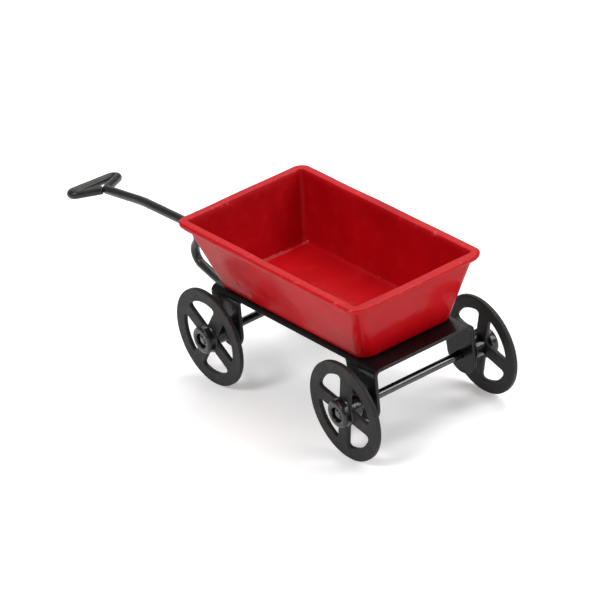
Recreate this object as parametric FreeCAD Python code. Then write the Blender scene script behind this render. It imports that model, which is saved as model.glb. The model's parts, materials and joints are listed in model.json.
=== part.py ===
"""Small metal pull wagon: an enamelled tub on a folded sheet chassis, with four
pierced disc wheels on two wire axles and a bent-wire pull handle.

Frame, in millimetres: +X is the way the wagon is pulled, +Y is its left side and
+Z is up.  The origin is on the floor, under the middle of the overall length.
"""
import FreeCAD, Part
import math
import os

V = FreeCAD.Vector
Y_AXIS = V(0, 1, 0)
Z_AXIS = V(0, 0, 1)

# ---------------------------------------------------------------- driving dimensions
# Tub: an open box whose walls lean out from a smaller base to a rolled rim.
rim_length = 60.0
rim_width = 33.8
tub_height = 15.3
base_length = 48.6
base_width = 23.6
tub_wall = 0.9
tub_floor = 0.9
lip_overhang = 1.05
lip_thickness = 1.15
lip_edge_radius = 0.45
rim_corner_radius = 2.6
base_corner_radius = 3.2
inner_rim_corner_radius = 0.7
inner_base_corner_radius = 1.4
base_edge_radius = 1.0
inner_edge_radius = 0.9
tub_ahead = 1.6

# Chassis: one sheet folded down at its long edges into four legs.
wheelbase = 45.3
chassis_width = 25.8
sheet = 0.8
bend_inside_radius = 0.7
leg_width = 9.3
leg_foot_radius = 4.3
leg_root_radius = 0.9
deck_rise = 8.6

# Wheels and axles.
wheel_radius = 10.9
disc_thickness = 1.0
disc_face = 18.2
ring_width = 2.8
spoke_width = 3.0
opening_corner_radius = 1.0
disc_edge_radius = 0.15
axle_radius = 0.9
axle_end_radius = 0.3
running_clearance = 0.05
end_float = 0.15

# Hubs: a shouldered bush in each disc, with a recess in its outer end.
hub_neck_radius = 2.2
hub_neck_length = 2.4
hub_radius = 3.0
hub_projection = 1.9
hub_shoulder_radius = 0.5
recess_radius = 1.6
recess_depth = 1.6
recess_lip_radius = 0.2
spacer_radius = 1.6
collar_radius = 1.35
collar_length = 0.8
axle_past_collar = 0.3

# Pull handle: one wire, as points ahead of and above the front axle.
wire_radius = 1.0
eye_wrap = 250.0
neck_reach = 20.0
neck_drop = 1.6
neck_radius = 12.0
lower_bend_reach = 30.5
lower_bend_rise = 1.5
lower_bend_radius = 2.8
upper_bend_reach = 23.6
upper_bend_rise = 9.4
upper_bend_radius = 2.4
shaft_kink_reach = 46.0
shaft_kink_rise = 8.75
shaft_kink_radius = 30.0
shaft_end_reach = 60.4
shaft_end_rise = 6.8
grip_half_width = 5.95
grip_depth = 5.7
grip_end_radius = 1.2
grip_root_radius = 1.4
grip_twist = 2.0
grip_butt_gap = 0.15

# ---------------------------------------------------------------- derived places
axle_height = wheel_radius
deck_top = axle_height + deck_rise
deck_underside = deck_top - sheet
shaft_pitch = math.atan2(shaft_end_rise - shaft_kink_rise, shaft_end_reach - shaft_kink_reach)
grip_bar_skew = -math.sin(shaft_pitch) * math.sin(math.radians(grip_twist)) * (grip_half_width - grip_end_radius)
grip_front_reach = shaft_end_reach + grip_depth * math.cos(shaft_pitch) + grip_bar_skew + wire_radius
rear_end = -wheelbase / 2 - wheel_radius
front_end = wheelbase / 2 + grip_front_reach
middle_x = -(rear_end + front_end) / 2
front_axle_x = middle_x + wheelbase / 2
rear_axle_x = middle_x - wheelbase / 2
tub_x = middle_x + tub_ahead
disc_inner_face = disc_face - disc_thickness
hub_outer_end = disc_face + hub_projection
hub_inner_end = disc_inner_face - hub_neck_length
recess_floor = hub_outer_end - recess_depth
collar_start = recess_floor + end_float
axle_end = collar_start + collar_length + axle_past_collar


# ---------------------------------------------------------------- general helpers
def rounded_rectangle(length, width, radius, x, z):
    """Closed wire of a rectangle with round corners, level at height z."""
    half_x = length / 2
    half_y = width / 2
    edges = []
    corners = ((1, 1, 0), (-1, 1, 90), (-1, -1, 180), (1, -1, 270))
    arcs = []
    for side_x, side_y, start in corners:
        centre = V(x + side_x * (half_x - radius), side_y * (half_y - radius), z)
        circle = Part.Circle(centre, Z_AXIS, radius)
        arcs.append(Part.ArcOfCircle(circle, math.radians(start), math.radians(start + 90)))
    for index, arc in enumerate(arcs):
        following = arcs[(index + 1) % len(arcs)]
        edges.append(arc.toShape())
        edges.append(Part.LineSegment(arc.EndPoint, following.StartPoint).toShape())
    return Part.Wire(edges)


def turned(profile, centre_x, side):
    """Solid of revolution about a wheel axis from (distance out, radius) corners."""
    points = [V(centre_x + radius, side * distance, axle_height) for distance, radius in profile]
    outline = Part.Face(Part.makePolygon(points + points[:1]))
    return outline.revolve(V(centre_x, 0, axle_height), Y_AXIS, 360)


def rod(centre_x, start, end, radius):
    """Cylinder about a wheel axis between two distances along Y."""
    return Part.makeCylinder(radius, end - start, V(centre_x, start, axle_height), Y_AXIS)


def circular_edges(solid, radius, distance):
    """Round edges of a given radius that lie at one distance from the middle plane."""
    found = []
    for edge in solid.Edges:
        if not isinstance(edge.Curve, Part.Circle):
            continue
        same_radius = abs(edge.Curve.Radius - radius) < 1e-4
        same_place = abs(abs(edge.Curve.Center.y) - distance) < 1e-4
        if same_radius and same_place:
            found.append(edge)
    return found


def save(name, shape):
    """Check one piece and write it as its own file."""
    if not shape.isValid():
        raise ValueError(name + " is not a valid solid")
    if shape.ShapeType == "Compound" and len(shape.Solids) == 1:
        shape = shape.Solids[0]
    shape.exportStep(os.path.join("parts", name + ".step"))
    box = shape.BoundBox
    print("%-20s volume %8.1f  x %8.3f %8.3f  y %7.2f %7.2f  z %6.2f %6.2f" % (
        name, shape.Volume, box.XMin, box.XMax, box.YMin, box.YMax, box.ZMin, box.ZMax))


# ---------------------------------------------------------------- tub
def frustum(inset, bottom, top, base_radius, rim_radius):
    """Leaning box from height bottom to height top, a set thickness inside the outer wall."""
    wall_top_length = rim_length - 2 * lip_overhang
    wall_top_width = rim_width - 2 * lip_overhang
    sections = []
    for height in (bottom, top):
        share = (height - deck_top) / tub_height
        length = base_length + (wall_top_length - base_length) * share - 2 * inset
        width = base_width + (wall_top_width - base_width) * share - 2 * inset
        radius = base_radius + (rim_radius - base_radius) * share
        sections.append(rounded_rectangle(length, width, radius, tub_x, height))
    return Part.makeLoft(sections, True, True)


def level_edges(solid, height):
    """Edges that lie wholly at one height."""
    found = []
    for edge in solid.Edges:
        box = edge.BoundBox
        if abs(box.ZMin - height) < 1e-4 and abs(box.ZMax - height) < 1e-4:
            found.append(edge)
    return found


def make_tub():
    top = deck_top + tub_height
    floor = deck_top + tub_floor
    outside = frustum(0, deck_top, top, base_corner_radius, rim_corner_radius - lip_overhang)
    outside = outside.makeFillet(base_edge_radius, level_edges(outside, deck_top))
    lip = Part.Face(rounded_rectangle(rim_length, rim_width, rim_corner_radius, tub_x, top - lip_thickness))
    lip = lip.extrude(V(0, 0, lip_thickness))
    lip = lip.makeFillet(lip_edge_radius, level_edges(lip, top) + level_edges(lip, top - lip_thickness))
    inside = frustum(tub_wall, floor, top + 1, inner_base_corner_radius, inner_rim_corner_radius)
    inside = inside.makeFillet(inner_edge_radius, level_edges(inside, floor))
    return outside.fuse(lip).cut(inside)


# ---------------------------------------------------------------- chassis
def channel_profile():
    """Cross-section of the folded sheet: a flat deck with a side turned down at each edge."""
    half = chassis_width / 2
    outer = bend_inside_radius + sheet
    foot = axle_height - leg_foot_radius
    block = Part.makeBox(1, chassis_width, deck_top - foot, V(0, -half, foot))
    top_edges = [edge for edge in block.Edges if edge_is_long_side(edge, half, deck_top)]
    block = block.makeFillet(outer, top_edges)
    space = Part.makeBox(1, chassis_width - 2 * sheet, deck_underside - foot + 1, V(0, -half + sheet, foot - 1))
    inner_edges = [edge for edge in space.Edges if edge_is_long_side(edge, half - sheet, deck_underside)]
    space = space.makeFillet(bend_inside_radius, inner_edges)
    section = block.cut(space)
    end_faces = [face for face in section.Faces if abs(face.CenterOfMass.x) < 1e-6]
    return end_faces[0]


def edge_is_long_side(edge, half, height):
    """True for an edge along X at a given half-width and height."""
    box = edge.BoundBox
    level = abs(box.ZMin - height) < 1e-6 and abs(box.ZMax - height) < 1e-6
    at_side = abs(abs(box.YMin) - half) < 1e-6 and abs(box.YMin - box.YMax) < 1e-6
    return level and at_side


def leg_outline(centre_x):
    """Side view of one leg: tapering edges that run tangent into a round foot."""
    half = leg_width / 2
    top = deck_underside
    reach = math.hypot(half, top - axle_height)
    lean = math.atan2(top - axle_height, half) - math.acos(leg_foot_radius / reach)
    touch_x = leg_foot_radius * math.cos(lean)
    touch_z = axle_height + leg_foot_radius * math.sin(lean)
    left_touch = V(centre_x - touch_x, 0, touch_z)
    right_touch = V(centre_x + touch_x, 0, touch_z)
    foot = V(centre_x, 0, axle_height - leg_foot_radius)
    left_top = V(centre_x - half, 0, top)
    right_top = V(centre_x + half, 0, top)
    edges = [
        Part.LineSegment(left_top, left_touch).toShape(),
        Part.Arc(left_touch, foot, right_touch).toShape(),
        Part.LineSegment(right_touch, right_top).toShape(),
        Part.LineSegment(right_top, left_top).toShape(),
    ]
    return Part.Face(Part.Wire(edges))


def leg_root_fillers():
    """Small round-cornered webs where each leg's inner edge meets the deck."""
    webs = []
    radius = leg_root_radius
    for centre_x, toward in ((rear_axle_x, 1), (front_axle_x, -1)):
        corner_x = centre_x + toward * leg_width / 2
        corner = V(corner_x, 0, deck_underside)
        along = V(corner_x + toward * radius, 0, deck_underside)
        below = V(corner_x, 0, deck_underside - radius)
        bulge = radius * (1 - math.sqrt(0.5))
        middle = V(corner_x + toward * bulge, 0, deck_underside - bulge)
        edges = [
            Part.LineSegment(corner, along).toShape(),
            Part.Arc(along, middle, below).toShape(),
            Part.LineSegment(below, corner).toShape(),
        ]
        webs.append(Part.Face(Part.Wire(edges)))
    return webs


def make_chassis():
    length = wheelbase + leg_width
    channel = channel_profile().extrude(V(length, 0, 0))
    channel.translate(V(rear_axle_x - leg_width / 2, 0, 0))
    across = V(0, chassis_width, 0)
    deck_band = Part.makeBox(length, chassis_width, sheet,
                             V(rear_axle_x - leg_width / 2, -chassis_width / 2, deck_underside))
    outlines = [leg_outline(rear_axle_x), leg_outline(front_axle_x)] + leg_root_fillers()
    keep = deck_band
    for outline in outlines:
        solid = outline.extrude(across)
        solid.translate(V(0, -chassis_width / 2, 0))
        keep = keep.fuse(solid)
    body = channel.common(keep)
    for axle_x in (rear_axle_x, front_axle_x):
        body = body.cut(rod(axle_x, -chassis_width, chassis_width, axle_radius))
    return body.removeSplitter()


# ---------------------------------------------------------------- running gear
def make_axle(centre_x):
    bar = rod(centre_x, -axle_end, axle_end, axle_radius)
    return bar.makeFillet(axle_end_radius, circular_edges(bar, axle_radius, axle_end))


def sector_opening(start_degrees):
    """One opening between two spokes, in the disc's own plane, as a thick cutter."""
    outer = wheel_radius - ring_width
    half_spoke = spoke_width / 2
    first = math.asin(half_spoke / outer)
    last = math.pi / 2 - first
    along = V(outer * math.cos(first), 0, half_spoke)
    middle = V(outer * math.sqrt(0.5), 0, outer * math.sqrt(0.5))
    up = V(half_spoke, 0, outer * math.sin(last))
    corner = V(half_spoke, 0, half_spoke)
    edges = [
        Part.LineSegment(corner, along).toShape(),
        Part.Arc(along, middle, up).toShape(),
        Part.LineSegment(up, corner).toShape(),
    ]
    cutter = Part.Face(Part.Wire(edges)).extrude(V(0, 3 * disc_thickness, 0))
    cutter.translate(V(0, -disc_thickness, 0))
    upright = []
    for edge in cutter.Edges:
        box = edge.BoundBox
        if box.YLength > disc_thickness:
            upright.append(edge)
    rounded = cutter.makeFillet(opening_corner_radius, upright)
    rounded.rotate(V(0, 0, 0), Y_AXIS, -start_degrees)
    return rounded


def make_disc(centre_x, side, spoke_angle):
    disc = Part.makeCylinder(wheel_radius, disc_thickness, V(0, 0, 0), Y_AXIS)
    disc = disc.makeFillet(disc_edge_radius, outer_rims(disc))
    for quarter in range(4):
        disc = disc.cut(sector_opening(spoke_angle + 90 * quarter))
    disc = disc.cut(Part.makeCylinder(hub_neck_radius, 3 * disc_thickness, V(0, -disc_thickness, 0), Y_AXIS))
    start = disc_inner_face if side > 0 else -disc_face
    disc.translate(V(centre_x, start, axle_height))
    return disc


def outer_rims(disc):
    """The two round edges at the rim of a plain disc."""
    return [edge for edge in disc.Edges if isinstance(edge.Curve, Part.Circle)]


def make_hub(centre_x, side):
    """Shouldered bush: its neck goes through the disc and its flange bears on the outer face."""
    bore = axle_radius + running_clearance
    profile = [
        (hub_inner_end, bore),
        (hub_inner_end, hub_neck_radius),
        (disc_face, hub_neck_radius),
        (disc_face, hub_radius),
        (hub_outer_end, hub_radius),
        (hub_outer_end, recess_radius),
        (recess_floor, recess_radius),
        (recess_floor, bore),
    ]
    bush = turned(profile, centre_x, side)
    bush = bush.makeFillet(hub_shoulder_radius, circular_edges(bush, hub_radius, hub_outer_end))
    return bush.makeFillet(recess_lip_radius, circular_edges(bush, recess_radius, hub_outer_end))


def make_ring(centre_x, side, start, length, radius):
    """Plain sleeve that is tight on the axle."""
    profile = [
        (start, axle_radius),
        (start, radius),
        (start + length, radius),
        (start + length, axle_radius),
    ]
    return turned(profile, centre_x, side)


# ---------------------------------------------------------------- pull handle
def rounded_path(points, radii):
    """Edges along straight runs, with a tangent arc at each inner point."""
    edges = []
    start = points[0]
    for index in range(1, len(points) - 1):
        corner = points[index]
        back = (points[index - 1] - corner).normalize()
        onward = (points[index + 1] - corner).normalize()
        turn = math.pi - back.getAngle(onward)
        cut_back = radii[index - 1] * math.tan(turn / 2)
        enter = corner + back * cut_back
        leave = corner + onward * cut_back
        inward = (back + onward).normalize()
        centre_distance = radii[index - 1] / math.cos(turn / 2)
        middle = corner + inward * (centre_distance - radii[index - 1])
        edges.append(Part.LineSegment(start, enter).toShape())
        edges.append(Part.Arc(enter, middle, leave).toShape())
        start = leave
    edges.append(Part.LineSegment(start, points[-1]).toShape())
    return edges


def from_axle(reach, rise):
    """Point in the middle plane, given ahead of and above the front axle."""
    return V(front_axle_x + reach, 0, axle_height + rise)


def eye_geometry():
    """Radius of the eye's middle line, and the angle at which the wire leaves it."""
    radius = axle_radius + running_clearance + wire_radius
    distance = math.hypot(neck_reach, neck_drop)
    leave = math.atan2(-neck_drop, neck_reach) - math.acos(radius / distance)
    return radius, leave


def on_eye(radius, angle):
    """Point on the eye's middle line."""
    return from_axle(radius * math.cos(angle), radius * math.sin(angle))


def grip_frame():
    """Origin at the shaft's end, with directions along the shaft and across the grip."""
    forward = V(math.cos(shaft_pitch), 0, math.sin(shaft_pitch))
    upward = V(-math.sin(shaft_pitch), 0, math.cos(shaft_pitch))
    twist = math.radians(grip_twist)
    across = Y_AXIS * math.cos(twist) + upward * math.sin(twist)
    return from_axle(shaft_end_reach, shaft_end_rise), forward, across


def handle_path():
    eye_radius, leave_angle = eye_geometry()
    wrap = math.radians(eye_wrap)
    eye = Part.Arc(on_eye(eye_radius, leave_angle - wrap),
                   on_eye(eye_radius, leave_angle - wrap / 2),
                   on_eye(eye_radius, leave_angle)).toShape()

    origin, forward, across = grip_frame()

    def in_grip(ahead, sideways):
        return origin + forward * ahead + across * sideways

    # Each end of the grip is a tight round turn; the two legs run from the shaft's end
    # to a tangent point on it.
    centre_ahead = grip_depth - grip_end_radius
    centre_side = grip_half_width - grip_end_radius
    slant = math.atan2(centre_ahead, centre_side)
    slant -= math.asin(grip_end_radius / math.hypot(centre_ahead, centre_side))
    touch_ahead = centre_ahead - grip_end_radius * math.cos(slant)
    touch_side = centre_side + grip_end_radius * math.sin(slant)
    bow = (math.pi - slant) / 2
    bow_ahead = centre_ahead + grip_end_radius * math.cos(bow)
    bow_side = centre_side + grip_end_radius * math.sin(bow)

    wire_points = [
        on_eye(eye_radius, leave_angle),
        from_axle(neck_reach, -neck_drop),
        from_axle(lower_bend_reach, lower_bend_rise),
        from_axle(upper_bend_reach, upper_bend_rise),
        from_axle(shaft_kink_reach, shaft_kink_rise),
        origin,
        in_grip(touch_ahead, -touch_side),
    ]
    radii = [neck_radius, lower_bend_radius, upper_bend_radius, shaft_kink_radius, grip_root_radius]
    edges = [eye] + rounded_path(wire_points, radii)

    right_turn = Part.Arc(in_grip(touch_ahead, -touch_side),
                          in_grip(bow_ahead, -bow_side),
                          in_grip(grip_depth, -centre_side))
    bar = Part.LineSegment(in_grip(grip_depth, -centre_side), in_grip(grip_depth, centre_side))
    left_turn = Part.Arc(in_grip(grip_depth, centre_side),
                         in_grip(bow_ahead, bow_side),
                         in_grip(touch_ahead, touch_side))
    stop = wire_radius + grip_butt_gap
    last_run = Part.LineSegment(in_grip(touch_ahead, touch_side),
                                in_grip(stop * math.sin(slant), stop * math.cos(slant)))
    edges += [piece.toShape() for piece in (right_turn, bar, left_turn, last_run)]
    return edges


def make_handle():
    """Sweep the round wire along its path and compare its volume with section times length."""
    path = Part.Wire(handle_path())
    first = path.Edges[0]
    begin = first.valueAt(first.FirstParameter)
    direction = first.tangentAt(first.FirstParameter)
    section = Part.Wire(Part.makeCircle(wire_radius, begin, direction))
    wire = path.makePipeShell([section], True, False, 1)
    expected = math.pi * wire_radius ** 2 * path.Length
    print("handle wire length %.1f, volume ratio %.4f" % (path.Length, wire.Volume / expected))
    return wire


# ---------------------------------------------------------------- build every piece
def main():
    os.makedirs("parts", exist_ok=True)
    save("tub", make_tub())
    save("chassis", make_chassis())
    save("front_axle", make_axle(front_axle_x))
    save("rear_axle", make_axle(rear_axle_x))
    spoke_angles = {"front_left": 35, "front_right": 70, "rear_left": 12, "rear_right": 17}
    for place, spoke_angle in spoke_angles.items():
        centre_x = front_axle_x if place.startswith("front") else rear_axle_x
        side = 1 if place.endswith("left") else -1
        leg_face = chassis_width / 2
        save("wheel_" + place, make_disc(centre_x, side, spoke_angle))
        save("hub_" + place, make_hub(centre_x, side))
        save("spacer_" + place, make_ring(centre_x, side, leg_face, hub_inner_end - end_float - leg_face,
                                          spacer_radius))
        save("collar_" + place, make_ring(centre_x, side, collar_start, collar_length, collar_radius))
    save("pull_handle", make_handle())


main()
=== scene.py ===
# Looks of the small metal pull wagon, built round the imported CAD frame.
# Every shape below is worked out in millimetres in the model's own frame (+X the way it is
# pulled, +Y its left, +Z up, origin on the floor) and stored in metres.
import json
import math

import bmesh
import bpy
import numpy as np
from mathutils import Matrix, Vector, noise
from mathutils.geometry import delaunay_2d_cdt


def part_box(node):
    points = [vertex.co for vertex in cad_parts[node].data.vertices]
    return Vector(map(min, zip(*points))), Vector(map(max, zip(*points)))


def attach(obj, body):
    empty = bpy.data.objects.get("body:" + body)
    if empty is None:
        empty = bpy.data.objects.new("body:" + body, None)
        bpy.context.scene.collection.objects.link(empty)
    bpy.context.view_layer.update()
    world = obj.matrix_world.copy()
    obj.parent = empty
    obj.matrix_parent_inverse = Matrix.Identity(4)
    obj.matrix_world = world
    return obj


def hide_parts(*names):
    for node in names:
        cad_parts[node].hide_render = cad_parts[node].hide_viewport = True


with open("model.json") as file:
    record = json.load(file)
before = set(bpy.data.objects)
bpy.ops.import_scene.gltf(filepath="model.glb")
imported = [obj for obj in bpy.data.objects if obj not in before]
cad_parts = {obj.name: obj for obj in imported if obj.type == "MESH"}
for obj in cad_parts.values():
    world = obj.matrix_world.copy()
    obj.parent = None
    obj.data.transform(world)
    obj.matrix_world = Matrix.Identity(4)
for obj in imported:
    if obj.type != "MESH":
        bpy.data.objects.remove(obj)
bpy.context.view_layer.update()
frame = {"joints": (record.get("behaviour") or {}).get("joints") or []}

MM = 0.001

# ---------------------------------------------------------------- places read from the frame
joint_at = {joint["name"]: Vector(joint["pos_m"]) / MM for joint in frame["joints"]}
tub_low, tub_high = (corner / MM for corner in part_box("tub"))
chassis_low, chassis_high = (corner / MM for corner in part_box("chassis"))
disc_low, disc_high = (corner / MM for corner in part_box("wheel_front_left"))
hub_low, hub_high = (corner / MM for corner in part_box("hub_front_left"))
spacer_low, spacer_high = (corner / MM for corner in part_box("spacer_front_left"))
collar_low, collar_high = (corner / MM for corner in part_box("collar_front_left"))
axle_end = (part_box("front_axle")[1] / MM).y

front_axle_x = joint_at["front_left_spin"].x
rear_axle_x = joint_at["rear_left_spin"].x
axle_height = joint_at["front_left_spin"].z
deck_top = chassis_high.z
tub_height = tub_high.z - tub_low.z
tub_x = (tub_low.x + tub_high.x) / 2

# ---------------------------------------------------------------- sizes, in millimetres
# Tub
base_length = 48.6
base_width = 23.6
tub_wall = 0.9
tub_floor = 0.9
lip_overhang = 1.05
lip_thickness = 1.15
lip_lower_radius = 0.45
lip_upper_radius = 0.5
lip_root_radius = 0.35
inner_rim_radius = 0.3
inner_edge_radius = 0.9
base_edge_radius = 1.0
base_corner_radius = 3.2
rim_corner_radius = 2.6
inner_base_corner_radius = 1.4
inner_rim_corner_radius = 0.7
wall_bow = 0.16
bow_length = 13.0
bow_rise_share = 0.4
lip_drip = 0.28
drip_reach = 0.5
drip_starts = 4.0
run_strength = 1.4
bead_strength = 0.5

# Chassis
sheet = 0.8
bend_inside_radius = 0.7
leg_width = 9.3
leg_foot_radius = 4.3
leg_root_radius = 0.9
edge_turn_down = 62.0
sheet_edge_round = 0.17

# Wheels and axles
wheel_radius = axle_height
ring_width = 2.8
spoke_width = 3.0
opening_corner_radius = 1.0
stamped_edge_radius = 0.22
flat_beside_edge = 0.12
bore_inside_neck = 0.4
hub_neck_radius = 2.2
hub_radius = 3.0
hub_shoulder_radius = 0.6
hub_recess_radius = 1.6
hub_recess_depth = 1.6
hub_neck_round = 0.25
hub_recess_edge_round = 0.3
hub_recess_floor_round = 0.25
axle_radius = 0.9
running_clearance = 0.05
spacer_radius = 1.6
collar_radius = 1.35
paint_fillet = 0.25
paint_fillet_round = 0.2
sleeve_edge_round = 0.2
axle_end_round = 0.3
axle_end_flat = 0.12
spoke_angles = {"front_left": 35.0, "front_right": 70.0, "rear_left": 12.0, "rear_right": 17.0}

# Pull handle, as distances ahead of and above the front axle
wire_radius = 1.0
eye_wrap = 250.0
neck_reach = 20.0
neck_drop = 1.6
neck_radius = 12.0
lower_bend_reach = 30.5
lower_bend_rise = 1.5
lower_bend_radius = 2.8
upper_bend_reach = 23.6
upper_bend_rise = 9.4
upper_bend_radius = 2.4
shaft_kink_reach = 46.0
shaft_kink_rise = 8.75
shaft_kink_radius = 30.0
shaft_end_reach = 60.4
shaft_end_rise = 6.8
grip_half_width = 5.95
grip_depth = 5.7
grip_end_radius = 1.2
grip_root_radius = 1.4
grip_twist = 2.0
grip_butt_overrun = 0.35
wire_end_round = 0.35
coat_wave = 0.018
coat_wave_frequency = 0.5
coat_ripple = 0.01
coat_ripple_frequency = 1.7


# ---------------------------------------------------------------- curves and meshes
def rounded_path(corners, radii, steps, closed):
    """Points along straight runs with a round arc in place of each corner that has a radius."""
    points = []
    last = len(corners) - 1
    for index, corner in enumerate(corners):
        radius = radii[index]
        is_end = not closed and index in (0, last)
        if radius == 0 or is_end:
            points.append(corner.copy())
            continue
        back = (corners[index - 1] - corner).normalized()
        onward = (corners[(index + 1) % len(corners)] - corner).normalized()
        half = back.angle(onward) / 2
        centre = corner + (back + onward).normalized() * (radius / math.sin(half))
        enter = corner + back * (radius / math.tan(half)) - centre
        leave = corner + onward * (radius / math.tan(half)) - centre
        sweep = math.pi - 2 * half
        for step in range(steps + 1):
            share = step / steps
            mixed = enter * math.sin((1 - share) * sweep) + leave * math.sin(share * sweep)
            points.append(centre + mixed / math.sin(sweep))
    return points


def subdivided(points, spacing, closed=False):
    """The same line with points no further apart than spacing."""
    result = []
    count = len(points) if closed else len(points) - 1
    for index in range(count):
        start = points[index]
        end = points[(index + 1) % len(points)]
        pieces = max(1, math.ceil((end - start).length / spacing))
        for step in range(pieces):
            result.append(start.lerp(end, step / pieces))
    if not closed:
        result.append(points[-1].copy())
    return result


def loft(rings, closed_across=False):
    """Mesh in millimetres from rings of equal length, each ring closed on itself."""
    mesh = bmesh.new()
    rows = [[mesh.verts.new(point) for point in ring] for ring in rings]
    pairs = list(zip(rows, rows[1:]))
    if closed_across:
        pairs.append((rows[-1], rows[0]))
    for lower, upper in pairs:
        for index in range(len(lower)):
            following = (index + 1) % len(lower)
            mesh.faces.new((lower[index], lower[following], upper[following], upper[index]))
    if not closed_across:
        mesh.faces.new(reversed(rows[0]))
        mesh.faces.new(rows[-1])
    return mesh


def turned(profile, centre_x, side, steps=56, closed=True):
    """Solid of revolution about an axle from (distance out, radius) points."""
    rings = []
    for distance, radius in profile:
        ring = []
        for step in range(steps):
            angle = math.tau * step / steps
            ring.append(Vector((centre_x + radius * math.cos(angle), side * distance,
                                axle_height + radius * math.sin(angle))))
        rings.append(ring)
    return loft(rings, closed_across=closed)


def bend_values(mesh, radius):
    """Stores how sharply the surface turns: 1 on convex edges of that radius, -1 in hollows."""
    count = len(mesh.vertices)
    places = np.zeros(count * 3)
    normals = np.zeros(count * 3)
    mesh.vertices.foreach_get("co", places)
    mesh.vertex_normals.foreach_get("vector", normals)
    ends = np.zeros(len(mesh.edges) * 2, dtype=int)
    mesh.edges.foreach_get("vertices", ends)
    places = places.reshape(-1, 3)
    normals = normals.reshape(-1, 3)
    first, second = ends.reshape(-1, 2).T
    along = places[second] - places[first]
    length_squared = np.maximum((along ** 2).sum(1), 1e-12)
    turning = ((normals[second] - normals[first]) * along).sum(1) / length_squared
    most = np.zeros(count)
    least = np.zeros(count)
    for end in (first, second):
        np.maximum.at(most, end, turning)
        np.minimum.at(least, end, turning)
    value = np.where(most > -least, most, least) * radius * MM
    layer = mesh.attributes.new("bend", "FLOAT", "POINT")
    layer.data.foreach_set("value", np.clip(value, -1, 1).astype(np.float32))


def add_piece(name, mesh, body, material, node, edge_radius=0.5, sharp_angle=None):
    """Turns a millimetre mesh into a shown piece that stands for one CAD node."""
    bmesh.ops.recalc_face_normals(mesh, faces=mesh.faces)
    mesh.transform(Matrix.Scale(MM, 4))
    data = bpy.data.meshes.new(name)
    mesh.to_mesh(data)
    mesh.free()
    data.shade_smooth()
    if sharp_angle is not None:
        data.set_sharp_from_angle(angle=math.radians(sharp_angle))
    bend_values(data, edge_radius)
    data.materials.append(material)
    shown = bpy.data.objects.new(name, data)
    bpy.context.scene.collection.objects.link(shown)
    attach(shown, body)
    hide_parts(node)


# ---------------------------------------------------------------- materials
class Paint:
    """Node tree of one painted surface, with helpers that each add a node."""

    def __init__(self, name):
        self.material = bpy.data.materials.new(name)
        self.material.use_nodes = True
        self.tree = self.material.node_tree
        self.shader = self.tree.nodes["Principled BSDF"]
        place = self.tree.nodes.new("ShaderNodeTexCoord")
        scale = self.tree.nodes.new("ShaderNodeMapping")
        scale.inputs["Scale"].default_value = (1 / MM,) * 3
        self.join(place.outputs["Object"], scale.inputs["Vector"])
        self.place = scale.outputs["Vector"]

    def join(self, source, target):
        self.tree.links.new(source, target)

    def set(self, target, value):
        if isinstance(value, bpy.types.NodeSocket):
            self.join(value, target)
        else:
            target.default_value = value

    def noise(self, size, detail=3.0, roughness=0.5, stretch=None):
        """Smooth noise with features about size millimetres across."""
        node = self.tree.nodes.new("ShaderNodeTexNoise")
        place = self.place
        if stretch:
            mapping = self.tree.nodes.new("ShaderNodeMapping")
            mapping.inputs["Scale"].default_value = stretch
            self.join(place, mapping.inputs["Vector"])
            place = mapping.outputs["Vector"]
        self.join(place, node.inputs["Vector"])
        node.inputs["Scale"].default_value = 1 / size
        node.inputs["Detail"].default_value = detail
        node.inputs["Roughness"].default_value = roughness
        return node.outputs["Fac"]

    def specks(self, spacing, radius):
        """1 at the middle of scattered round specks and 0 away from them."""
        node = self.tree.nodes.new("ShaderNodeTexVoronoi")
        self.join(self.place, node.inputs["Vector"])
        node.inputs["Scale"].default_value = 1 / spacing
        return self.span(node.outputs["Distance"], radius / spacing, 0.0, 0.0, 1.0)

    def bend(self):
        node = self.tree.nodes.new("ShaderNodeAttribute")
        node.attribute_name = "bend"
        return node.outputs["Fac"]

    def span(self, value, low, high, to_low, to_high):
        """Smooth step of a value from one range to another."""
        node = self.tree.nodes.new("ShaderNodeMapRange")
        node.interpolation_type = "SMOOTHSTEP"
        self.join(value, node.inputs["Value"])
        settings = {"From Min": low, "From Max": high, "To Min": to_low, "To Max": to_high}
        for socket, number in settings.items():
            node.inputs[socket].default_value = number
        return node.outputs["Result"]

    def combine(self, operation, first, second):
        """Sum, difference or product of two values."""
        node = self.tree.nodes.new("ShaderNodeMath")
        node.operation = operation
        self.set(node.inputs[0], first)
        self.set(node.inputs[1], second)
        return node.outputs["Value"]

    def blend(self, share, first, second):
        """Mix of two colours."""
        node = self.tree.nodes.new("ShaderNodeMix")
        node.data_type = "RGBA"
        self.join(share, node.inputs["Factor"])
        is_socket = isinstance(first, bpy.types.NodeSocket)
        self.set(node.inputs["A"], first if is_socket else (*first, 1))
        self.set(node.inputs["B"], (*second, 1))
        return node.outputs["Result"]

    def relief(self, height, strength):
        """Bump from a height in millimetres."""
        node = self.tree.nodes.new("ShaderNodeBump")
        node.inputs["Distance"].default_value = MM
        node.inputs["Strength"].default_value = strength
        self.join(height, node.inputs["Height"])
        return node.outputs["Normal"]


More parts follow.
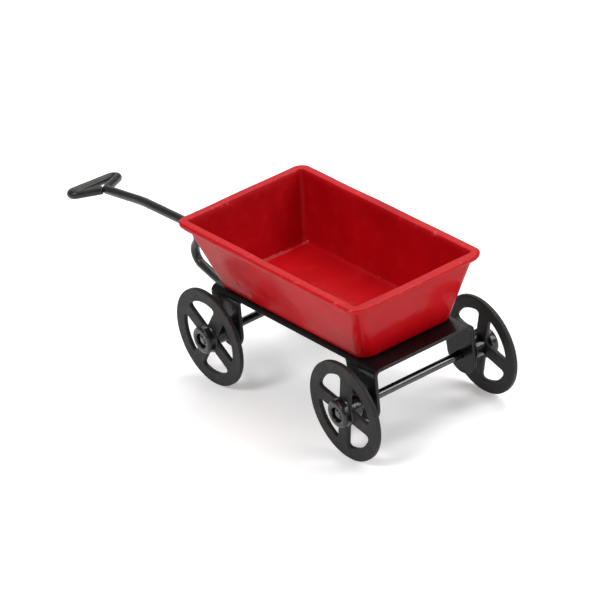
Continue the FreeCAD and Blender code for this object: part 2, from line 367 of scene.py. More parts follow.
def paint(name, dark_tone_and_hollow_shade, full, pale_tone_and_edge_highlight, worn, patch_size, peel_size, peel_depth, grain_depth, gloss,
          specular, coat, wear, speck_spacing, speck_radius, speck_height, dust=0.0, stretch=None):
    """Sprayed enamel or satin paint: painted shade in the hollows, painted highlight on the edges,
    orange peel, dust specks and rubbed edges.
    """
    made = Paint(name)
    patches = made.noise(patch_size, 4.0, 0.55, stretch)
    blotches = made.noise(patch_size / 5, 3.0, 0.6, stretch)
    peel = made.noise(peel_size, 2.0, 0.45)
    grain = made.noise(peel_size / 7, 3.0, 0.65)
    bend = made.bend()
    specks = made.specks(speck_spacing, speck_radius)
    chosen = made.span(made.noise(speck_spacing * 2.5, 1.0), 0.5, 0.56, 0.0, 1.0)
    specks = made.combine("MULTIPLY", specks, chosen)

    # Colour: patches, painted shade in the hollows, painted highlight on the edges, rubbed spots,
    # dust.
    colour = made.blend(made.span(patches, 0.3, 0.7, 0.0, 1.0), dark_tone_and_hollow_shade, full)
    colour = made.blend(made.span(blotches, 0.45, 0.8, 0.0, 0.35), colour, pale_tone_and_edge_highlight)
    # Painted shade: the colour is darkened in the hollows.
    colour = made.blend(made.span(bend, -0.9, -0.1, 0.6, 0.0), colour, dark_tone_and_hollow_shade)
    # Painted highlight: the colour is made paler on convex edges.
    colour = made.blend(made.span(bend, 0.25, 0.9, 0.0, 0.45), colour, pale_tone_and_edge_highlight)
    broken = made.noise(peel_size * 1.3, 5.0, 0.7)
    broken = made.span(broken, 0.62 - 0.1 * wear, 0.72 - 0.1 * wear, 0.0, 1.0)
    rubbed = made.combine("MULTIPLY", made.span(bend, 0.45, 0.95, 0.0, wear), broken)
    colour = made.blend(rubbed, colour, worn)
    settled = made.combine("MULTIPLY", made.span(bend, -0.95, -0.35, dust, 0.0), broken)
    colour = made.blend(settled, colour, worn)
    colour = made.blend(made.combine("MULTIPLY", specks, 0.45), colour, worn)
    made.join(colour, made.shader.inputs["Base Color"])

    # Gloss: duller where rubbed or speckled, and never quite even.
    low, high = gloss
    rough = made.span(blotches, 0.3, 0.75, low, high)
    rough = made.combine("ADD", rough, made.span(grain, 0.4, 0.8, 0.0, (high - low) * 0.5))
    rough = made.combine("ADD", rough, made.combine("MULTIPLY", rubbed, 0.25))
    made.join(rough, made.shader.inputs["Roughness"])
    made.shader.inputs["Specular IOR Level"].default_value = specular
    coat_weight, coat_roughness = coat
    made.shader.inputs["Coat Weight"].default_value = coat_weight
    made.shader.inputs["Coat Roughness"].default_value = coat_roughness

    # Relief: orange peel, fine grain, specks that stand up, and paint missing where rubbed.
    height = made.combine("MULTIPLY", peel, peel_depth)
    height = made.combine("ADD", height, made.combine("MULTIPLY", grain, grain_depth))
    height = made.combine("ADD", height, made.combine("MULTIPLY", specks, speck_height))
    height = made.combine("SUBTRACT", height, made.combine("MULTIPLY", rubbed, peel_depth))
    normal = made.relief(height, 1.0)
    made.join(normal, made.shader.inputs["Normal"])
    made.join(normal, made.shader.inputs["Coat Normal"])
    return made.material


red_enamel = paint(
    "red_enamel_paint", dark_tone_and_hollow_shade=(0.36, 0.0010, 0.0032), full=(0.47, 0.0022, 0.0056),
    pale_tone_and_edge_highlight=(0.56, 0.0080, 0.014), worn=(0.70, 0.16, 0.15), patch_size=22.0, peel_size=1.7,
    peel_depth=0.055, grain_depth=0.006, gloss=(0.35, 0.5), specular=0.05, coat=(0.21, 0.10),
    wear=0.4, speck_spacing=4.2, speck_radius=0.16, speck_height=0.05, dust=0.6)
black_enamel = paint(
    "black_enamel_paint", dark_tone_and_hollow_shade=(0.0040, 0.0040, 0.0042), full=(0.0075, 0.0075, 0.0076),
    pale_tone_and_edge_highlight=(0.013, 0.013, 0.0128), worn=(0.06, 0.058, 0.055), patch_size=16.0, peel_size=1.5,
    peel_depth=0.045, grain_depth=0.005, gloss=(0.25, 0.4), specular=0.06, coat=(0.34, 0.08),
    wear=0.3, speck_spacing=3.6, speck_radius=0.15, speck_height=0.05)
axle_black = paint(
    "axle_black_paint", dark_tone_and_hollow_shade=(0.0035, 0.0035, 0.004), full=(0.007, 0.007, 0.0075),
    pale_tone_and_edge_highlight=(0.012, 0.012, 0.012), worn=(0.09, 0.085, 0.08), patch_size=9.0, peel_size=1.1,
    peel_depth=0.02, grain_depth=0.004, gloss=(0.2, 0.34), specular=0.25, coat=(1.0, 0.07),
    wear=0.5, speck_spacing=3.0, speck_radius=0.12, speck_height=0.04)
wheel_black = paint(
    "wheel_black_paint", dark_tone_and_hollow_shade=(0.010, 0.010, 0.0097), full=(0.017, 0.017, 0.0163),
    pale_tone_and_edge_highlight=(0.027, 0.027, 0.0255), worn=(0.10, 0.098, 0.094), patch_size=8.0, peel_size=0.8,
    peel_depth=0.025, grain_depth=0.012, gloss=(0.42, 0.6), specular=0.16, coat=(0.04, 0.2),
    wear=0.5, speck_spacing=2.6, speck_radius=0.14, speck_height=0.04)
hub_black = paint(
    "hub_black_paint", dark_tone_and_hollow_shade=(0.0035, 0.0035, 0.0036), full=(0.007, 0.007, 0.0068),
    pale_tone_and_edge_highlight=(0.014, 0.014, 0.0135), worn=(0.10, 0.095, 0.09), patch_size=5.0, peel_size=1.1,
    peel_depth=0.09, grain_depth=0.008, gloss=(0.26, 0.4), specular=0.15, coat=(0.6, 0.07),
    wear=0.5, speck_spacing=2.2, speck_radius=0.12, speck_height=0.04)
handle_black = paint(
    "handle_black_paint", dark_tone_and_hollow_shade=(0.010, 0.0092, 0.0085), full=(0.019, 0.0172, 0.016),
    pale_tone_and_edge_highlight=(0.034, 0.031, 0.0285), worn=(0.15, 0.138, 0.128), patch_size=12.0, peel_size=0.9,
    peel_depth=0.025, grain_depth=0.008, gloss=(0.28, 0.42), specular=0.3, coat=(0.15, 0.12),
    wear=0.6, speck_spacing=3.4, speck_radius=0.13, speck_height=0.04, stretch=(0.35, 1.0, 1.0))


# ---------------------------------------------------------------- tub
long_side_steps = 72
short_side_steps = 42
corner_steps = 10


def rounded_rectangle(half_x, half_y, radius, x, z):
    """Level ring with evenly spaced points on its four sides and round corners."""
    arcs = []
    for quarter, (side_x, side_y) in enumerate(((1, 1), (-1, 1), (-1, -1), (1, -1))):
        centre = Vector((x + side_x * (half_x - radius), side_y * (half_y - radius), z))
        turns = [math.radians(90 * (quarter + step / corner_steps))
                 for step in range(corner_steps + 1)]
        arcs.append([centre + radius * Vector((math.cos(turn), math.sin(turn), 0))
                     for turn in turns])
    ring = []
    for quarter, arc in enumerate(arcs):
        following = arcs[(quarter + 1) % 4]
        steps = short_side_steps if quarter % 2 else long_side_steps
        ring += arc
        ring += [arc[-1].lerp(following[0], step / steps) for step in range(1, steps)]
    return ring


def wall_slopes():
    """How far the tub's walls lean out for each unit of height, along X and along Y."""
    top_x = (tub_high.x - tub_low.x) / 2 - lip_overhang
    top_y = (tub_high.y - tub_low.y) / 2 - lip_overhang
    return (top_x - base_length / 2) / tub_height, (top_y - base_width / 2) / tub_height


def tub_ring(outward, height):
    """Level ring round the tub, a distance outside the base outline."""
    slope_x, slope_y = wall_slopes()
    mean_slope = (slope_x + slope_y) / 2
    half_x = base_length / 2 + outward + (slope_x - mean_slope) * height
    half_y = base_width / 2 + outward + (slope_y - mean_slope) * height
    share = height / tub_height
    outer = base_corner_radius + (rim_corner_radius - lip_overhang - base_corner_radius) * share
    inner = inner_base_corner_radius + (inner_rim_corner_radius - inner_base_corner_radius) * share
    beyond_wall = outward - mean_slope * height
    depth = min(1.0, max(0.0, -beyond_wall / tub_wall))
    radius = outer + max(0.0, beyond_wall) + (inner - outer) * depth
    return rounded_rectangle(half_x, half_y, radius, tub_x, tub_low.z + height)


def tub_profile():
    """Cross-section of floor, wall and lip as (distance outside the base outline, height)."""
    slope = sum(wall_slopes()) / 2
    top = tub_height
    lip_under = top - lip_thickness
    wall_under_lip = slope * lip_under
    outer = slope * top + lip_overhang
    inner_top = slope * top - tub_wall
    inner_foot = slope * tub_floor - tub_wall
    deep_inside = -base_width / 2 + 2 * inner_base_corner_radius
    corners = [
        (deep_inside, 0.0, 0.0),
        (0.0, 0.0, base_edge_radius),
        (wall_under_lip, lip_under, lip_root_radius),
        (outer, lip_under, lip_lower_radius),
        (outer, top, lip_upper_radius),
        (inner_top, top, inner_rim_radius),
        (inner_foot, tub_floor, inner_edge_radius),
        (deep_inside, tub_floor, 0.0),
    ]
    points = [Vector((outward, height)) for outward, height, radius in corners]
    radii = [radius for outward, height, radius in corners]
    return subdivided(rounded_path(points, radii, steps=6, closed=False), spacing=1.3)


def plan_noise(point, frequency, layer):
    """Noise that is the same at every height."""
    return noise.noise(Vector((point.x * frequency, point.y * frequency, layer)))


def settle(point, outward, height):
    """Slight hand-made unevenness: bowed walls and a lip whose lower edge carries thick paint.

    Known fault: noise_vector takes its offsets from the clock unless noise.seed_set is called
    first, so the walls bow a little differently in each run. The lip's drip is always the same.
    """
    share = max(0.0, min(1.0, height / tub_height))
    bow = noise.noise_vector(point / bow_length) * wall_bow
    bow.z *= bow_rise_share
    moved = point + bow * math.sin(math.pi * 0.5 * share)
    lip_share = max(0.0, 1 - abs(height - (tub_height - lip_thickness)) / drip_reach)
    if lip_share > 0 and outward > drip_starts:
        run = plan_noise(point, frequency=0.31, layer=4.7)
        bead = plan_noise(point, frequency=1.1, layer=9.2)
        moved.z -= lip_share * lip_drip * max(0.0, run * run_strength + bead * bead_strength)
    moved.z = min(moved.z, tub_high.z)
    return moved


def tub_mesh():
    rings = []
    for outward, height in tub_profile():
        ring = tub_ring(outward, height)
        rings.append([settle(point, outward, height) for point in ring])
    return loft(rings)


add_piece("tub_shell", tub_mesh(), "wagon", red_enamel, "tub", edge_radius=0.45)


# ---------------------------------------------------------------- chassis
def leg_side(height, half, top):
    """Distance along X from the axle to a leg's tapering edge, and where that edge meets the foot.

    Both heights are above the axle.
    """
    reach = math.hypot(half, top)
    lean = math.atan2(top, half) - math.acos(leg_foot_radius / reach)
    touch_x = leg_foot_radius * math.cos(lean)
    touch_z = leg_foot_radius * math.sin(lean)
    share = (height - touch_z) / (top - touch_z)
    return touch_x + (half - touch_x) * share, touch_z


def chassis_mesh():
    """Middle surface of the folded sheet: deck, bends and four legs pierced for the axles."""
    half_width = chassis_high.y - sheet / 2
    middle_radius = bend_inside_radius + sheet / 2
    bend_y = half_width - middle_radius
    bend_z = deck_top - sheet / 2 - middle_radius
    half_leg = leg_width / 2
    underside = deck_top - sheet - axle_height
    margin = 0.35
    flare_above_edge = 0.1
    leg_parts = 10
    gap_parts = 16
    half_deck_parts = 8

    # Stations along the length: fine in the legs and at the ends, even between them.
    in_leg = [0.0, margin]
    in_leg += [leg_width * part / leg_parts for part in range(1, leg_parts)]
    in_leg += [leg_width - margin, leg_width]
    rear = [chassis_low.x + station for station in in_leg]
    front = [chassis_high.x - leg_width + station for station in in_leg]
    gap_start = rear[-1] + leg_root_radius
    gap_end = front[0] - leg_root_radius
    gap = [gap_start + (gap_end - gap_start) * part / gap_parts for part in range(gap_parts + 1)]
    stations = rear + gap + front

    turn_steps = [15.0, 30.0, 45.0, edge_turn_down]
    leg_turns = [76.0, 90.0]
    mesh = bmesh.new()

    def flare(height):
        """Round web between a leg's inner edge and the deck's edge."""
        top = bend_z + middle_radius * math.cos(math.radians(edge_turn_down)) + flare_above_edge
        depth = top - height
        if depth <= 0 or depth >= leg_root_radius:
            return 0.0
        return leg_root_radius - math.sqrt(leg_root_radius ** 2 - (leg_root_radius - depth) ** 2)

    def row(side, turn):
        """Place across and up of one row of vertices, at an angle round the bend."""
        y = side * (bend_y + middle_radius * math.sin(math.radians(turn)))
        z = bend_z + middle_radius * math.cos(math.radians(turn))
        return y, z

    deck_ys = [bend_y * part / half_deck_parts
               for part in range(-half_deck_parts, half_deck_parts + 1)]
    rows = []
    for turn in reversed(turn_steps):
        y, z = row(-1, turn)
        rows.append([mesh.verts.new((x, y, z)) for x in stations])
    for y in deck_ys:
        rows.append([mesh.verts.new((x, y, deck_top - sheet / 2)) for x in stations])
    for turn in turn_steps:
        y, z = row(1, turn)
        rows.append([mesh.verts.new((x, y, z)) for x in stations])
    for lower, upper in zip(rows, rows[1:]):
        for index in range(len(stations) - 1):
            mesh.faces.new((lower[index], lower[index + 1], upper[index + 1], upper[index]))

    legs = ((rear_axle_x, 0, -1), (front_axle_x, len(stations) - len(front), 0))
    for side, edge_row in ((-1, rows[0]), (1, rows[-1])):
        for axle_x, first, inner_end in legs:
            previous = edge_row[first:first + len(in_leg)]
            toward = 1 if inner_end == -1 else -1
            corner = previous[inner_end]
            corner.co.x += toward * flare(corner.co.z)
            for turn in leg_turns:
                y, z = row(side, turn)
                width = leg_side(z - axle_height, half_leg, underside)[0]
                current = []
                for index, station in enumerate(in_leg):
                    x = axle_x + width * (2 * station / leg_width - 1)
                    if index == (len(in_leg) - 1 if inner_end == -1 else 0):
                        x += toward * flare(z)
                    current.append(mesh.verts.new((x, y, z)))
                for index in range(len(in_leg) - 1):
                    mesh.faces.new((previous[index], previous[index + 1],
                                    current[index + 1], current[index]))
                previous = current
            leg_plate(mesh, axle_x, y, previous, half_leg, underside)
    bmesh.ops.recalc_face_normals(mesh, faces=mesh.faces)
    return mesh


def leg_plate(mesh, axle_x, y, top_row, half_leg, underside):
    """Flat part of one leg, as rings round the axle hole that grow into the leg's outline."""
    top = top_row[0].co.z - axle_height
    touch = leg_side(top, half_leg, underside)[1]
    side_steps = 8
    foot_steps = 22
    outline = [(vertex.co.x - axle_x, vertex.co.z - axle_height) for vertex in top_row]
    for step in range(1, side_steps + 1):
        height = top + (touch - top) * step / side_steps
        outline.append((leg_side(height, half_leg, underside)[0], height))
    start = math.atan2(outline[-1][1], outline[-1][0])
    for step in range(1, foot_steps):
        angle = start - (math.pi + 2 * start) * step / foot_steps
        outline.append((leg_foot_radius * math.cos(angle), leg_foot_radius * math.sin(angle)))
    for step in range(side_steps):
        height = touch + (top - touch) * step / side_steps
        outline.append((-leg_side(height, half_leg, underside)[0], height))
    hole = axle_radius + running_clearance
    ring_shares = [0.955, 0.85, 0.65, 0.4, 0.18, 0.0]
    previous = list(top_row)
    for x, z in outline[len(top_row):]:
        previous.append(mesh.verts.new((axle_x + x, y, axle_height + z)))
    for share in ring_shares:
        ring = []
        for x, z in outline:
            distance = math.hypot(x, z)
            scale = (hole + (distance - hole) * share) / distance
            ring.append(mesh.verts.new((axle_x + x * scale, y, axle_height + z * scale)))
        for index in range(len(outline)):
            following = (index + 1) % len(outline)
            mesh.faces.new((previous[index], previous[following], ring[following], ring[index]))
        previous = ring


def thickened(mesh, thickness, edge_round):
    """Gives a middle surface its thickness and rounds the cut edges."""
    sharper_than = 50
    data = bpy.data.meshes.new("sheet_work")
    mesh.to_mesh(data)
    mesh.free()
    work = bpy.data.objects.new("sheet_work", data)
    bpy.context.scene.collection.objects.link(work)
    solid = work.modifiers.new("thickness", "SOLIDIFY")
    solid.thickness = thickness
    solid.offset = 0
    solid.use_even_offset = True
    edges = work.modifiers.new("edges", "BEVEL")
    edges.width = edge_round
    edges.segments = 3
    edges.limit_method = "ANGLE"
    edges.angle_limit = math.radians(sharper_than)
    bpy.context.view_layer.update()
    shape = work.evaluated_get(bpy.context.evaluated_depsgraph_get())
    result = bmesh.new()
    result.from_mesh(shape.to_mesh())
    shape.to_mesh_clear()
    bpy.data.objects.remove(work)
    bpy.data.meshes.remove(data)
    return result


chassis = thickened(chassis_mesh(), sheet, sheet_edge_round)
add_piece("chassis_sheet", chassis, "wagon", black_enamel, "chassis",
          edge_radius=0.25)


# ---------------------------------------------------------------- wheels, hubs and axles
def opening_outline(start_degrees):
    """Round-cornered opening between two spokes, in the wheel's own plane."""
    outer = wheel_radius - ring_width
    near = spoke_width / 2
    far = math.sqrt(outer ** 2 - near ** 2)
    cut = opening_corner_radius
    first = math.asin(near / outer) + cut / outer
    last = math.pi / 2 - first
    arc_steps = 14
    angles = [first + (last - first) * step / arc_steps for step in range(arc_steps + 1)]
    arc = [outer * Vector((math.cos(angle), math.sin(angle))) for angle in angles]
    hub_corner = Vector((near, near))
    outline = corner_curve(Vector((near, near + cut)), hub_corner, Vector((near + cut, near)))
    outline += corner_curve(Vector((far - cut, near)), Vector((far, near)), arc[0])
    outline += arc[1:-1]
    outline += corner_curve(arc[-1], Vector((near, far)), Vector((near, far - cut)))
    outline = subdivided(outline, spacing=0.5, closed=True)
    return [turn_flat(point, start_degrees) for point in outline]


def corner_curve(start, corner, end):
    """Quadratic curve that cuts a corner."""
    steps = 8
    shares = [step / steps for step in range(steps + 1)]
    return [start * (1 - share) ** 2 + corner * 2 * share * (1 - share) + end * share ** 2
            for share in shares]


def turn_flat(point, degrees):
    angle = math.radians(degrees)
    return Vector((point.x * math.cos(angle) - point.y * math.sin(angle),
                   point.x * math.sin(angle) + point.y * math.cos(angle)))


def pushed(loop, distance):
    """A closed flat loop moved into the metal by a distance; its metal is on the left."""
    result = []
    count = len(loop)
    for index, point in enumerate(loop):
        before = (point - loop[index - 1]).normalized()
        after = (loop[(index + 1) % count] - point).normalized()
        along = (before + after).normalized()
        result.append(point + Vector((-along.y, along.x)) * distance)
    return result


def fill_flat(mesh, rows):
    """Triangles over one flat upright face that leave the holes inside its outline open."""
    corners = [vertex for row in rows for vertex in row]
    flat = [Vector((vertex.co.x, vertex.co.z)) for vertex in corners]
    edges = []
    for row in rows:
        first = len(edges)
        edges += [(first + index, first + (index + 1) % len(row)) for index in range(len(row))]
    whole_area = 0
    merge_distance = 1e-7
    points, _, triangles, sources, _, _ = delaunay_2d_cdt(
        flat, edges, [], whole_area, merge_distance)
    start, end = (np.array([flat[pair[which]] for pair in edges]) for which in (0, 1))
    for triangle in triangles:
        x, z = sum((points[index] for index in triangle), Vector((0, 0))) / 3
        spans = (start[:, 1] > z) != (end[:, 1] > z)
        rise = np.where(spans, end[:, 1] - start[:, 1], 1.0)
        crossing = start[:, 0] + (z - start[:, 1]) / rise * (end[:, 0] - start[:, 0])
        if np.count_nonzero(spans & (crossing > x)) % 2:
            mesh.faces.new([corners[sources[index][0]] for index in triangle])


def stamped_disc(centre_x, side, inner_y, outer_y, spoke_angle):
    """Pierced disc with rolled-over edges at its rim and openings; its hole hides in the hub."""
    rim_steps = 128
    bore_steps = 40
    roll_steps = 4
    turns = [math.tau * step / rim_steps for step in range(rim_steps)]
    rim = [wheel_radius * Vector((math.cos(turn), math.sin(turn))) for turn in turns]
    bore_radius = hub_neck_radius - bore_inside_neck
    turns = [math.tau * step / bore_steps for step in range(bore_steps)]
    bore = [bore_radius * Vector((math.cos(turn), -math.sin(turn))) for turn in turns]
    radius = stamped_edge_radius
    thickness = outer_y - inner_y
    rolled = [(radius + flat_beside_edge, 0.0)]
    for step in range(roll_steps + 1):
        angle = math.pi / 2 * step / roll_steps
        rolled.append((radius * (1 - math.sin(angle)), radius * (1 - math.cos(angle))))
    rolled += [(inset, thickness - depth) for inset, depth in reversed(rolled)]
    loops = [(rim, rolled), (bore, [(0.0, 0.0), (0.0, thickness)])]
    for quarter in range(4):
        loops.append((list(reversed(opening_outline(spoke_angle + 90 * quarter))), rolled))

    mesh = bmesh.new()
    front, back = [], []
    for loop, sections in loops:
        rows = []
        for inset, depth in sections:
            shape = pushed(loop, inset) if inset else loop
            y = side * (inner_y + depth)
            rows.append([mesh.verts.new((centre_x + point.x, y, axle_height + point.y))
                         for point in shape])
        for lower, upper in zip(rows, rows[1:]):
            for index in range(len(lower)):
                following = (index + 1) % len(lower)
                mesh.faces.new((lower[index], lower[following], upper[following], upper[index]))
        back.append(rows[0])
        front.append(rows[-1])
    fill_flat(mesh, back)
    fill_flat(mesh, front)
    return mesh


def lathe_profile(corners, steps=5, closed=True, spacing=0.6):
    """Rounded (distance out, radius) outline for a turned piece."""
    points = [Vector((distance, radius)) for distance, radius, rounding in corners]
    roundings = [rounding for distance, radius, rounding in corners]
    path = rounded_path(points, roundings, steps, closed)
    return [tuple(point) for point in subdivided(path, spacing, closed)]


def hub_profile():
    """Shouldered bush with a paint fillet against the disc and a recess round the axle's end."""
    bore = axle_radius + running_clearance
    face = disc_high.y
    end = hub_high.y
    floor = end - hub_recess_depth
    fillet_back = face - 0.02
    fillet_lip = face + 0.04
    fillet_radius = hub_radius + paint_fillet
    return lathe_profile([
        (hub_low.y, bore, 0.0),
        (hub_low.y, hub_neck_radius, hub_neck_round),
        (fillet_back, hub_neck_radius, 0.0),
        (fillet_back, fillet_radius, 0.0),
        (fillet_lip, fillet_radius, 0.0),
        (face + paint_fillet, hub_radius, paint_fillet_round),
        (end, hub_radius, hub_shoulder_radius),
        (end, hub_recess_radius, hub_recess_edge_round),
        (floor, hub_recess_radius, hub_recess_floor_round),
        (floor, bore, 0.0),
    ])


def ring_profile(low, high, radius):
    """Sleeve that is tight on the axle, with rounded outer edges."""
    return lathe_profile([
        (low, axle_radius, 0.0),
        (low, radius, sleeve_edge_round),
        (high, radius, sleeve_edge_round),
        (high, axle_radius, 0.0),
    ])


slim_steps = 40


def axle_mesh(centre_x):
    """Axle bar with rounded ends; each end face closes on a small flat at its centre."""
    profile = lathe_profile([
        (-axle_end, axle_end_flat, 0.0),
        (-axle_end, axle_radius, axle_end_round),
        (axle_end, axle_radius, axle_end_round),
        (axle_end, axle_end_flat, 0.0),
    ], closed=False)
    return turned(profile, centre_x, side=1, steps=slim_steps, closed=False)


for place, spoke_angle in spoke_angles.items():
    at_front = place.startswith("front")
    centre_x = front_axle_x if at_front else rear_axle_x
    side = 1 if place.endswith("left") else -1
    wheel_body = place + "_wheel"
    disc = stamped_disc(centre_x, side, disc_low.y, disc_high.y, spoke_angle)
    add_piece("stamped_disc_" + place, disc, wheel_body, wheel_black,
              "wheel_" + place, edge_radius=0.25, sharp_angle=60)
    add_piece("bush_" + place, turned(hub_profile(), centre_x, side), wheel_body,
              hub_black, "hub_" + place, edge_radius=0.5)
    sleeve = ring_profile(spacer_low.y, spacer_high.y, spacer_radius)
    add_piece("sleeve_" + place, turned(sleeve, centre_x, side, slim_steps), "wagon",
              axle_black, "spacer_" + place, edge_radius=0.25)
    cap = ring_profile(collar_low.y, collar_high.y, collar_radius)
    add_piece("cap_ring_" + place, turned(cap, centre_x, side, slim_steps), "wagon",
              axle_black, "collar_" + place, edge_radius=0.25)

for end, axle_x in (("front", front_axle_x), ("rear", rear_axle_x)):
    add_piece("axle_bar_" + end, axle_mesh(axle_x), "wagon", axle_black,
              end + "_axle", edge_radius=0.3)


# ---------------------------------------------------------------- pull handle
def from_axle(reach, rise):
    return Vector((front_axle_x + reach, 0, axle_height + rise))


def handle_route():
    """Middle line of the wire: an eye round the front axle, the bent shaft and the grip."""
    eye_radius = axle_radius + running_clearance + wire_radius
    away = math.hypot(neck_reach, neck_drop)
    leave = math.atan2(-neck_drop, neck_reach) - math.acos(eye_radius / away)
    wrap = math.radians(eye_wrap)
    eye_steps = 40
    eye = []
    for step in range(eye_steps):
        angle = leave - wrap * (1 - step / eye_steps)
        eye.append(from_axle(eye_radius * math.cos(angle), eye_radius * math.sin(angle)))

    pitch = math.atan2(shaft_end_rise - shaft_kink_rise, shaft_end_reach - shaft_kink_reach)
    twist = math.radians(grip_twist)
    forward = Vector((math.cos(pitch), 0, math.sin(pitch)))
    upward = Vector((-math.sin(pitch), 0, math.cos(pitch)))
    across = Vector((0, 1, 0)) * math.cos(twist) + upward * math.sin(twist)
    origin = from_axle(shaft_end_reach, shaft_end_rise)

    # The grip is a flat triangle; its corners lie where its straight sides would meet.
    arc_forward = grip_depth - grip_end_radius
    arc_across = grip_half_width - grip_end_radius
    slant = math.atan2(arc_forward, arc_across)
    slant -= math.asin(grip_end_radius / math.hypot(arc_forward, arc_across))
    corner_side = grip_depth / math.tan(slant)
    right_corner = origin + forward * grip_depth - across * corner_side
    left_corner = origin + forward * grip_depth + across * corner_side
    # Its free end runs on past the shaft's surface by the overrun, so that the two meet.
    stop = wire_radius - grip_butt_overrun
    finish = origin + forward * stop * math.sin(slant) + across * stop * math.cos(slant)
    corners = [
        (from_axle(eye_radius * math.cos(leave), eye_radius * math.sin(leave)), 0.0),
        (from_axle(neck_reach, -neck_drop), neck_radius),
        (from_axle(lower_bend_reach, lower_bend_rise), lower_bend_radius),
        (from_axle(upper_bend_reach, upper_bend_rise), upper_bend_radius),
        (from_axle(shaft_kink_reach, shaft_kink_rise), shaft_kink_radius),
        (origin, grip_root_radius),
        (right_corner, grip_end_radius),
        (left_corner, grip_end_radius),
        (finish, 0.0),
    ]
    points = [corner for corner, radius in corners]
    radii = [radius for corner, radius in corners]
    bent = rounded_path(points, radii, steps=14, closed=False)
    return subdivided(eye + bent, spacing=0.45)


def wire_mesh(route, sides=24):
    """Round wire along a route, with rounded ends and a slightly uneven coat of paint."""
    tangents = []
    for index in range(len(route)):
        before = route[max(index - 1, 0)]
        after = route[min(index + 1, len(route) - 1)]
        tangents.append((after - before).normalized())
    upright = tangents[0].orthogonal().normalized()
    rings = []
    last = len(route) - 1
    end_steps = 4
    for index, point in enumerate(route):
        if index:
            upright = tangents[index - 1].rotation_difference(tangents[index]) @ upright
        upright = (upright - tangents[index] * upright.dot(tangents[index])).normalized()
        sideways = tangents[index].cross(upright)
        wave = 0.5 + 0.5 * noise.noise(point * coat_wave_frequency)
        ripple = abs(noise.noise(point * coat_ripple_frequency))
        uneven = 1 - coat_wave * wave - coat_ripple * ripple
        made = [(point, uneven)]
        if index in (0, last):
            inward = tangents[index] * (1 if index == 0 else -1)
            made = []
            for step in range(end_steps + 1):
                angle = math.pi / 2 * step / end_steps
                offset = wire_end_round * (1 - math.cos(angle))
                scale = uneven * (1 - wire_end_round * (1 - math.sin(angle)))
                made.append((point + inward * offset, scale))
            if index == last:
                made.reverse()
        turns = [math.tau * side / sides for side in range(sides)]
        for centre, scale in made:
            rings.append([
                centre + (upright * math.cos(turn) + sideways * math.sin(turn))
                * wire_radius * scale for turn in turns])
    return loft(rings)


add_piece("handle_wire", wire_mesh(handle_route()), "handle", handle_black,
          "pull_handle", edge_radius=0.35, sharp_angle=75)


# ---------------------------------------------------------------- floor, light and camera
horizon_light = 0.35
overhead_light = 0.22
floor_glow = 0.3


def floor_material():
    made = Paint("floor_paper")
    tone = made.span(made.noise(60.0, 3.0, 0.5), 0.3, 0.7, 0.0, 1.0)
    colour = made.blend(tone, (0.86, 0.86, 0.865), (0.88, 0.88, 0.882))
    made.join(colour, made.shader.inputs["Base Color"])
    made.shader.inputs["Roughness"].default_value = 0.9
    made.shader.inputs["Specular IOR Level"].default_value = 0.1
    made.shader.inputs["Emission Color"].default_value = (1, 1, 1, 1)
    made.shader.inputs["Emission Strength"].default_value = floor_glow
    return made.material


def add_floor():
    """Large sheet of pale paper that the wheels stand on."""
    half = 4.0
    data = bpy.data.meshes.new("floor")
    corners = [(-half, -half, 0), (half, -half, 0), (half, half, 0), (-half, half, 0)]
    data.from_pydata(corners, [], [(0, 1, 2, 3)])
    data.materials.append(floor_material())
    floor = bpy.data.objects.new("floor", data)
    bpy.context.scene.collection.objects.link(floor)


def add_softbox(name, place, target, size, power):
    """Rectangular soft light aimed at a point."""
    data = bpy.data.lights.new(name, "AREA")
    data.shape = "RECTANGLE"
    data.size, data.size_y = size
    data.energy = power
    lamp = bpy.data.objects.new(name, data)
    lamp.location = place
    lamp.rotation_mode = "QUATERNION"
    lamp.rotation_quaternion = (Vector(target) - Vector(place)).to_track_quat("-Z", "Y")
    bpy.context.scene.collection.objects.link(lamp)


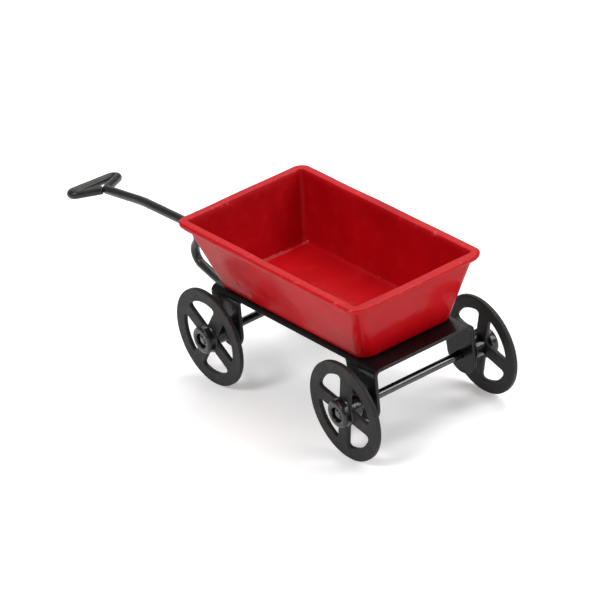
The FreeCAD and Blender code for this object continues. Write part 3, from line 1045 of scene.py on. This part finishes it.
def add_world():
    """Dim light from all round, a little stronger near the horizon than overhead."""
    world = bpy.data.worlds.new("studio")
    world.use_nodes = True
    tree = world.node_tree
    place = tree.nodes.new("ShaderNodeTexCoord")
    parts = tree.nodes.new("ShaderNodeSeparateXYZ")
    span = tree.nodes.new("ShaderNodeMapRange")
    span.interpolation_type = "SMOOTHSTEP"
    span.inputs["From Min"].default_value = 0.1
    span.inputs["From Max"].default_value = 0.8
    span.inputs["To Min"].default_value = horizon_light
    span.inputs["To Max"].default_value = overhead_light
    tree.links.new(place.outputs["Generated"], parts.inputs["Vector"])
    tree.links.new(parts.outputs["Z"], span.inputs["Value"])
    tree.nodes["Background"].inputs["Color"].default_value = (1, 1, 1, 1)
    tree.links.new(span.outputs["Result"], tree.nodes["Background"].inputs["Strength"])
    bpy.context.scene.world = world


def add_camera():
    """Long lens that looks down on the rear left corner."""
    between_axles = (front_axle_x + rear_axle_x) / 2
    aim_ahead, aim_left, aim_up = 3.8, 7.1, 22.0
    target = Vector((between_axles + aim_ahead, aim_left, aim_up)) * MM
    distance = 0.9
    azimuth = math.radians(235.62)
    elevation = math.radians(28.42)
    roll = math.radians(-7.25)
    back = Vector((math.sin(azimuth) * math.cos(elevation),
                   -math.cos(azimuth) * math.cos(elevation),
                   math.sin(elevation)))
    level_right = Vector((math.cos(azimuth), math.sin(azimuth), 0))
    level_up = back.cross(level_right)
    right = level_right * math.cos(roll) + level_up * math.sin(roll)
    up = level_up * math.cos(roll) - level_right * math.sin(roll)
    data = bpy.data.cameras.new("view")
    data.sensor_width = 36.0
    data.lens = 265.3
    data.clip_start = 0.05
    data.clip_end = 20.0
    camera = bpy.data.objects.new("view", data)
    camera.matrix_world = Matrix((
        (right.x, up.x, back.x, target.x + back.x * distance),
        (right.y, up.y, back.y, target.y + back.y * distance),
        (right.z, up.z, back.z, target.z + back.z * distance),
        (0, 0, 0, 1)))
    bpy.context.scene.collection.objects.link(camera)
    bpy.context.scene.camera = camera


add_floor()
add_world()
# Soft lights: place and target in metres, size in metres, power in watts.
lit_spot = (-0.02, 0, 0.02)
add_softbox("key", (-0.1, 0.75, 0.9), lit_spot, (0.38, 0.38), 5.6)
add_softbox("top", (0.15, -0.4, 1.0), lit_spot, (0.9, 0.9), 9.0)
add_softbox("back", (0.75, -0.5, 0.5), lit_spot, (0.5, 0.35), 0.5)
add_softbox("side", (-0.6, -0.5, 0.5), lit_spot, (0.3, 0.45), 3.0)
add_camera()
bpy.context.scene.view_settings.view_transform = "Standard"
